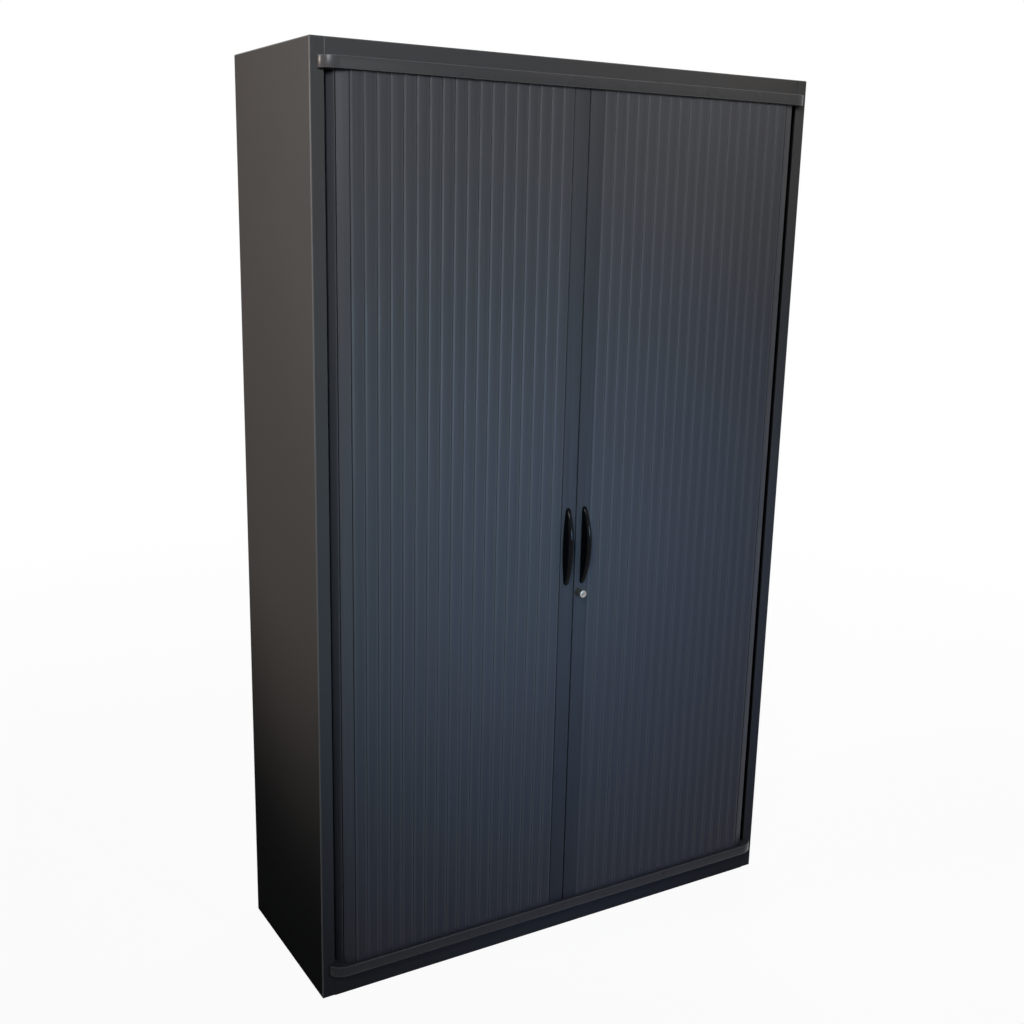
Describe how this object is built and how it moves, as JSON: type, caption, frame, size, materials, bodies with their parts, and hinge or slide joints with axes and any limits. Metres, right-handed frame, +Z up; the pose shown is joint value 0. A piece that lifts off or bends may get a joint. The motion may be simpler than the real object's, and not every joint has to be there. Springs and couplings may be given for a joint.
{
  "type": "tambour door cabinet",
  "caption": "Tall steel storage cabinet with two vertical-slat tambour curtains that slide apart round the front corners, bow handles, a hook lock and adjustable shelves.",
  "frame": {"origin": "Centre of the bounding box on the floor, between the doors.", "axes": "+X to the right seen from the front, -Y towards the user in front of the doors, +Z up."},
  "size_m": [1.2, 0.4542, 1.96],
  "materials": {
    "charcoal_coat": "fine textured charcoal powder coat, satin",
    "rail_coat": "charcoal powder coat, slightly smoother than the carcass",
    "interior_coat": "grey powder coat, matt",
    "track_plastic": "charcoal grey moulded plastic, low friction",
    "slat_plastic": "extruded plastic slats, blue grey, soft sheen",
    "stile_plastic": "extruded lead stile, blue grey, soft sheen",
    "gloss_black": "polished black plastic",
    "zinc_steel": "bright zinc plate",
    "nickel": "nickel plate, slightly dulled",
    "foot_rubber": "black rubber pad on a threaded stem"
  },
  "bodies": {
    "carcass": {"left_side_panel": "charcoal_coat", "right_side_panel": "charcoal_coat", "back_panel": "charcoal_coat", "top_panel": "charcoal_coat", "base_panel": "charcoal_coat", "top_rail": "rail_coat", "bottom_rail": "rail_coat", "top_stiffener": "interior_coat", "floor_panel": "interior_coat", "ceiling_panel": "interior_coat", "left_liner": "interior_coat", "right_liner": "interior_coat", "inner_back_panel": "interior_coat", "shelf_1": "interior_coat", "shelf_2": "interior_coat", "shelf_3": "interior_coat", "shelf_4": "interior_coat", "top_track": "track_plastic", "bottom_track": "track_plastic", "left_corner_slats": "slat_plastic", "right_corner_slats": "slat_plastic", "left_tail_slats": "slat_plastic", "right_tail_slats": "slat_plastic"},
    "left_door": {"left_stile": "stile_plastic", "left_handle": "gloss_black", "left_handle_screw_1": "zinc_steel", "left_handle_screw_2": "zinc_steel", "lock_keeper": "zinc_steel", "left_slats_1": "slat_plastic", "left_slats_2": "slat_plastic", "left_slats_3": "slat_plastic", "left_slats_4": "slat_plastic", "left_slats_5": "slat_plastic", "left_slats_6": "slat_plastic", "left_slats_7": "slat_plastic", "left_slats_8": "slat_plastic", "left_slats_9": "slat_plastic"},
    "right_door": {"right_stile": "stile_plastic", "right_handle": "gloss_black", "right_handle_screw_1": "zinc_steel", "right_handle_screw_2": "zinc_steel", "lock_housing": "nickel", "lock_nut": "zinc_steel", "right_slats_1": "slat_plastic", "right_slats_2": "slat_plastic", "right_slats_3": "slat_plastic", "right_slats_4": "slat_plastic", "right_slats_5": "slat_plastic", "right_slats_6": "slat_plastic", "right_slats_7": "slat_plastic", "right_slats_8": "slat_plastic", "right_slats_9": "slat_plastic"},
    "lock_cylinder": {"lock_plug": "nickel", "lock_hook": "zinc_steel"},
    "left_front_foot": {"left_front_foot": "foot_rubber"},
    "left_rear_foot": {"left_rear_foot": "foot_rubber"},
    "right_front_foot": {"right_front_foot": "foot_rubber"},
    "right_rear_foot": {"right_rear_foot": "foot_rubber"}
  },
  "joints": [
    {"name": "left_door_slide", "type": "slide", "parent": "carcass", "child": "left_door", "axis": [-1, 0, 0], "range_m": [0, 0.48], "deforming": ["left_slats_1", "left_slats_2", "left_slats_3", "left_slats_4", "left_slats_5", "left_slats_6", "left_slats_7", "left_slats_8", "left_slats_9"]},
    {"name": "right_door_slide", "type": "slide", "parent": "carcass", "child": "right_door", "axis": [1, 0, 0], "range_m": [0, 0.48], "deforming": ["right_slats_1", "right_slats_2", "right_slats_3", "right_slats_4", "right_slats_5", "right_slats_6", "right_slats_7", "right_slats_8", "right_slats_9"]},
    {"name": "lock_turn", "type": "hinge", "parent": "right_door", "child": "lock_cylinder", "pos_m": [0.0135, -0.19, 0.8374], "axis": [0, -1, 0], "range_deg": [0, 90]},
    {"name": "left_front_foot_screw", "type": "slide", "parent": "carcass", "child": "left_front_foot", "axis": [0, 0, -1], "range_m": [0, 0.015]},
    {"name": "left_rear_foot_screw", "type": "slide", "parent": "carcass", "child": "left_rear_foot", "axis": [0, 0, -1], "range_m": [0, 0.015]},
    {"name": "right_front_foot_screw", "type": "slide", "parent": "carcass", "child": "right_front_foot", "axis": [0, 0, -1], "range_m": [0, 0.015]},
    {"name": "right_rear_foot_screw", "type": "slide", "parent": "carcass", "child": "right_rear_foot", "axis": [0, 0, -1], "range_m": [0, 0.015]}
  ]
}
